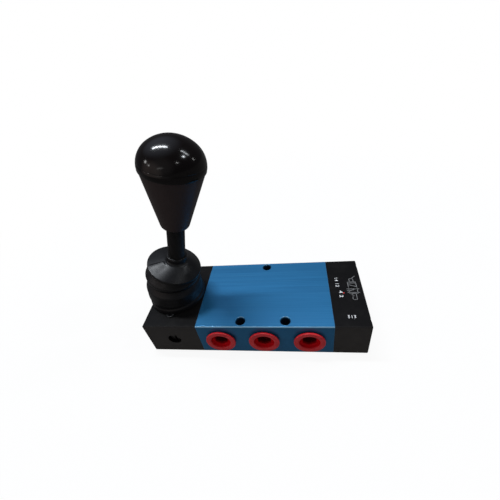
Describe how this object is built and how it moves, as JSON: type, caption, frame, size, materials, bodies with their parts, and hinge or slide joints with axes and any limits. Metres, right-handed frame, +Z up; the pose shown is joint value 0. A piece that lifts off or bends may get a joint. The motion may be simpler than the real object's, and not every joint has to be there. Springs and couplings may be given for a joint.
{
  "type": "hand lever air valve",
  "caption": "Hand lever spool valve for compressed air, with a knobbed lever in a rubber boot, plugged side ports and vertical mounting holes.",
  "frame": {"origin": "underside of the valve body, below the middle front port and halfway through its depth", "axes": "+X along the spool away from the lever, +Y towards the two-port side, +Z up"},
  "size_m": [0.1289, 0.0548, 0.1204],
  "materials": {
    "blue_body": "blue anodised, fine brushed",
    "black_housing": "satin black",
    "spool_aluminium": "hard anodised",
    "steel": "plated",
    "black_rod": "black oxide, satin",
    "knob_plastic": "gloss",
    "brass": "turned",
    "boot_rubber": "satin rubber",
    "seal_rubber": "matt",
    "acetal": "natural",
    "red_plastic": "satin moulded"
  },
  "bodies": {
    "valve": {"valve_body": "blue_body", "lever_housing": "black_housing", "end_cap": "black_housing", "spool_cage_1": "acetal", "spool_cage_2": "acetal", "spool_cage_3": "acetal", "spool_cage_4": "acetal", "spool_cage_5": "acetal", "spool_seal_1": "seal_rubber", "spool_seal_2": "seal_rubber", "spool_seal_3": "seal_rubber", "spool_seal_4": "seal_rubber", "spool_seal_5": "seal_rubber", "spool_seal_6": "seal_rubber", "left_end_bush": "acetal", "right_end_bush": "acetal", "pivot_pin": "steel", "boot": "boot_rubber", "detent_ball": "steel", "detent_spring": "steel", "detent_screw": "steel", "housing_screws": "steel", "cap_screws": "steel", "front_plug_left": "red_plastic", "front_plug_middle": "red_plastic", "front_plug_right": "red_plastic", "rear_plug_left": "red_plastic", "rear_plug_right": "red_plastic"},
    "lever": {"lever": "black_rod", "knob": "knob_plastic", "knob_insert": "brass"},
    "spool": {"spool": "spool_aluminium", "spool_stem": "steel"}
  },
  "joints": [
    {"name": "lever_pivot", "type": "hinge", "parent": "valve", "child": "lever", "pos_m": [-0.0544, 0, 0.028], "axis": [0, -1, 0], "range_deg": [0, 31.6], "deforming": ["boot"]},
    {"name": "spool_slide", "type": "slide", "parent": "valve", "child": "spool", "axis": [1, 0, 0], "range_m": [0, 0.00875]}
  ],
  "couplings": [
    {"joint": "spool_slide", "follows": "lever_pivot", "m_per_rad": 0.015798}
  ]
}
